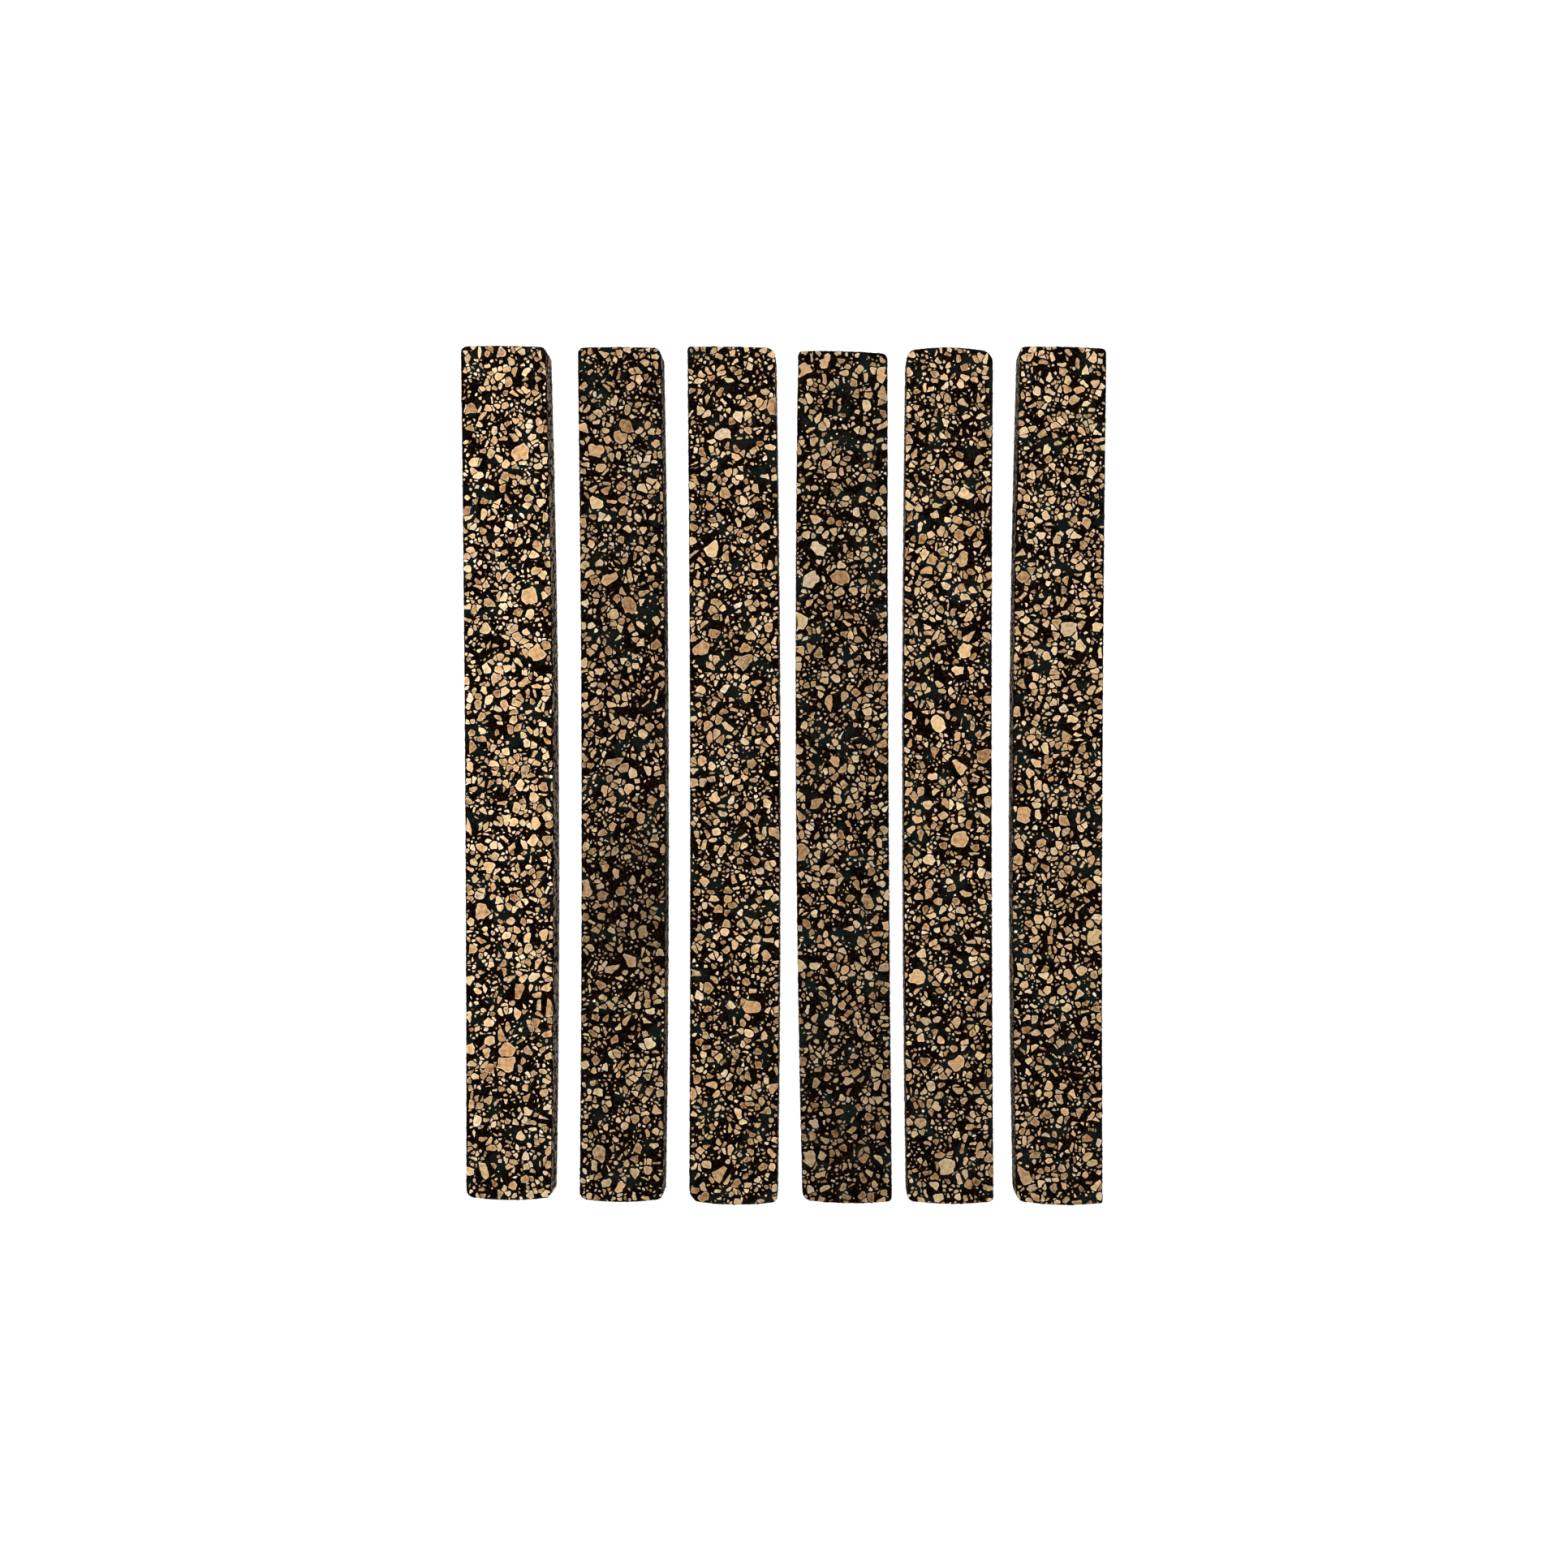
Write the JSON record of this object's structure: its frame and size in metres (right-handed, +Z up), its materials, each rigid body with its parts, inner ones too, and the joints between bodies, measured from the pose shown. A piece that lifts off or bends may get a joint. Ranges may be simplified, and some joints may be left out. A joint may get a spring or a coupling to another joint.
{
  "type": "cork rubber strip set",
  "caption": "Row of loose flat strips cut from cork-filled rubber sheet, each with slightly bowed sides, softly crowned ends and rounded corners.",
  "frame": {"origin": "under the middle of the row, on the surface that the strips lie on", "axes": "+X across the row from strip_1 to strip_6; +Y along the strips, towards their top ends; +Z up"},
  "size_m": [0.0841, 0.112, 0.006],
  "materials": {
    "cork_rubber": "matte dark rubber binder with cork granules cut flush",
    "cork_granules": "matte cut cork, tan, golden, pinkish and cream granules"
  },
  "bodies": {
    "strip_1": {"strip_1": "cork_rubber"},
    "strip_2": {"strip_2": "cork_rubber"},
    "strip_3": {"strip_3": "cork_rubber"},
    "strip_4": {"strip_4": "cork_rubber"},
    "strip_5": {"strip_5": "cork_rubber"},
    "strip_6": {"strip_6": "cork_rubber"}
  },
  "joints": [
    {"name": "strip_2_lift", "type": "slide", "parent": "strip_1", "child": "strip_2", "axis": [0, 0, 1], "range_m": [0, 0.02]},
    {"name": "strip_3_lift", "type": "slide", "parent": "strip_1", "child": "strip_3", "axis": [0, 0, 1], "range_m": [0, 0.02]},
    {"name": "strip_4_lift", "type": "slide", "parent": "strip_1", "child": "strip_4", "axis": [0, 0, 1], "range_m": [0, 0.02]},
    {"name": "strip_5_lift", "type": "slide", "parent": "strip_1", "child": "strip_5", "axis": [0, 0, 1], "range_m": [0, 0.02]},
    {"name": "strip_6_lift", "type": "slide", "parent": "strip_1", "child": "strip_6", "axis": [0, 0, 1], "range_m": [0, 0.02]}
  ]
}
